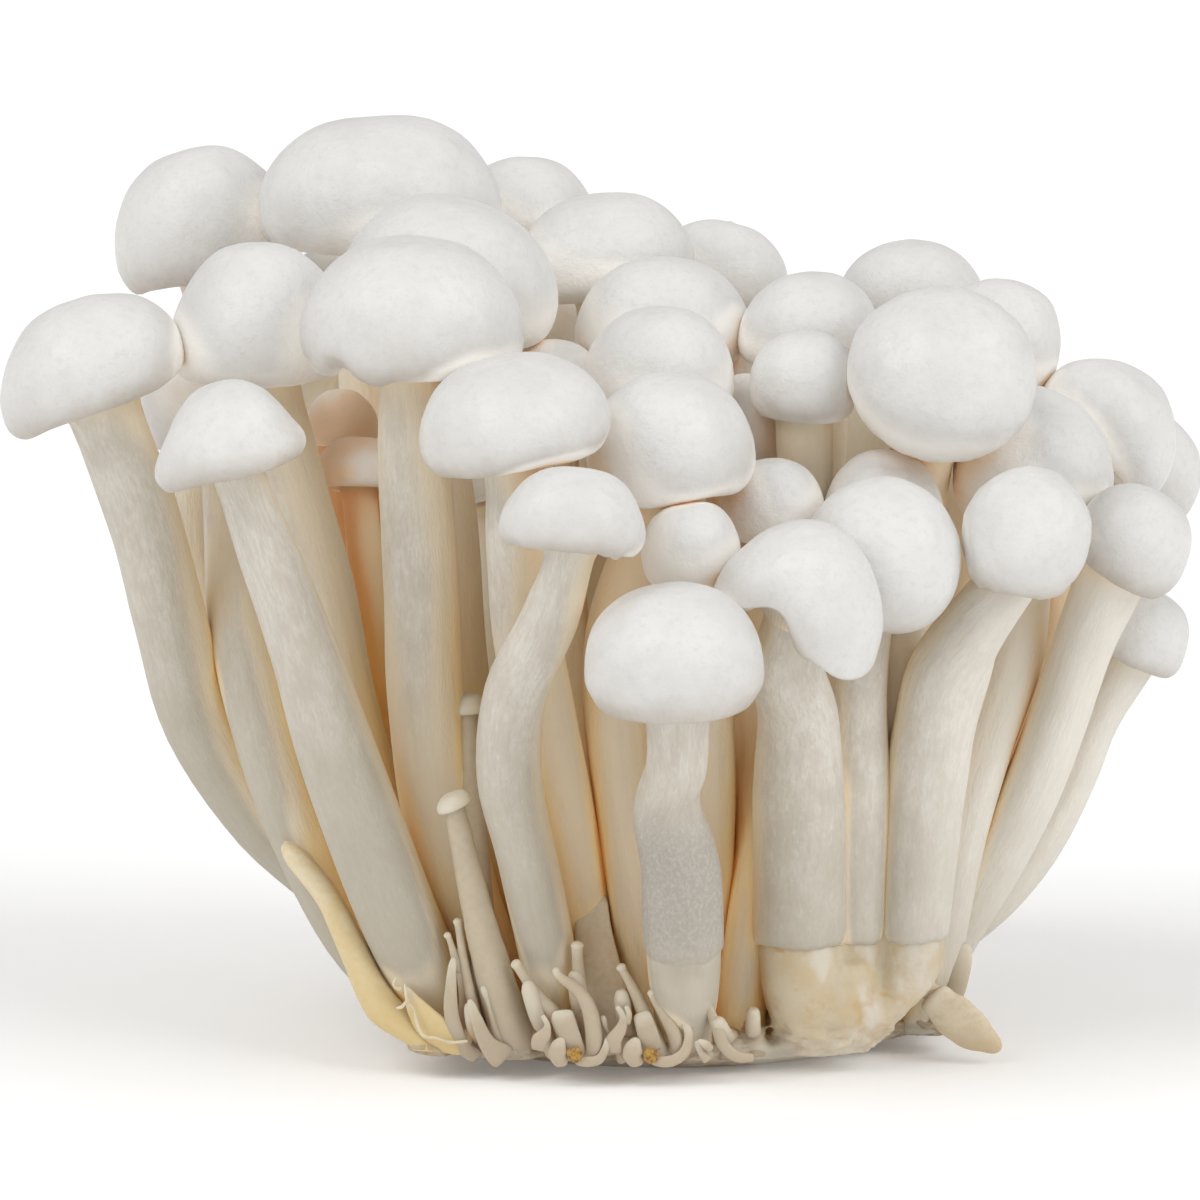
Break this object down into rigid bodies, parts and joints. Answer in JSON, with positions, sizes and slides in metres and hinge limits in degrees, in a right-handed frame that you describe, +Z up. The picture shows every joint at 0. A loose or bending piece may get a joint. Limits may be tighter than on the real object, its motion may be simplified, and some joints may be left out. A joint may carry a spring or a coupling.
{
  "type": "white shimeji mushroom bunch",
  "caption": "Bunch of white shimeji mushrooms: small rounded caps on slender crowded stems that rise from one fused, flat-cut base with tiny pins and a torn scale at its foot.",
  "frame": {"origin": "on the cut face that the bunch stands on, below the middle of its crown of caps", "axes": "+Z up, the way the stems grow; +X along the long side of the bunch; +Y towards its rear"},
  "size_m": [0.1078, 0.0964, 0.0821],
  "materials": {
    "mushroom": "matte",
    "pin": "matte",
    "clump": "matte",
    "scale": "matte"
  },
  "bodies": {
    "root": {"mushroom_front_bell": "mushroom", "mushroom_front_wavy_stem": "mushroom", "mushroom_front_round": "mushroom", "mushroom_front_saddle": "mushroom", "mushroom_front_right_tilted": "mushroom", "mushroom_front_right_drooping": "mushroom", "mushroom_oval_left": "mushroom", "mushroom_middle_front": "mushroom", "mushroom_small_ball": "mushroom", "mushroom_low_small": "mushroom", "mushroom_pair_back": "mushroom", "mushroom_far_left": "mushroom", "mushroom_tucked_left": "mushroom", "mushroom_upper_left": "mushroom", "mushroom_broad_left": "mushroom", "mushroom_middle_stacked": "mushroom", "mushroom_middle_side_small": "mushroom", "mushroom_right_small": "mushroom", "mushroom_right_big_round": "mushroom", "mushroom_right_lumpy": "mushroom", "mushroom_right_edge_middle": "mushroom", "mushroom_right_edge_low": "mushroom", "mushroom_tilted_upper": "mushroom", "mushroom_middle_hidden": "mushroom", "mushroom_middle_upper": "mushroom", "mushroom_right_upper": "mushroom", "mushroom_right_crescent": "mushroom", "mushroom_far_right": "mushroom", "mushroom_inner_dim": "mushroom", "mushroom_inner_low": "mushroom", "mushroom_back_far_left": "mushroom", "mushroom_back_big": "mushroom", "mushroom_back_middle": "mushroom", "mushroom_back_middle_right": "mushroom", "mushroom_back_right_tilted": "mushroom", "mushroom_back_high": "mushroom", "mushroom_back_right_high": "mushroom", "mushroom_rear_left_high": "mushroom", "mushroom_rear_middle_high": "mushroom", "mushroom_rear_right_high": "mushroom", "mushroom_rear_left": "mushroom", "mushroom_rear_middle": "mushroom", "mushroom_rear_right": "mushroom", "mushroom_rear_far_right": "mushroom", "mushroom_rear_far_left": "mushroom", "pin_tall": "pin", "pin_slanting": "pin", "shoot_bare": "pin", "pin_left_a": "pin", "pin_left_b": "pin", "pin_middle_a": "pin", "pin_middle_b": "pin", "pin_middle_c": "pin", "pin_right_a": "pin", "pin_right_b": "pin", "base_clump": "clump", "scale_torn": "scale"}
  },
  "joints": []
}
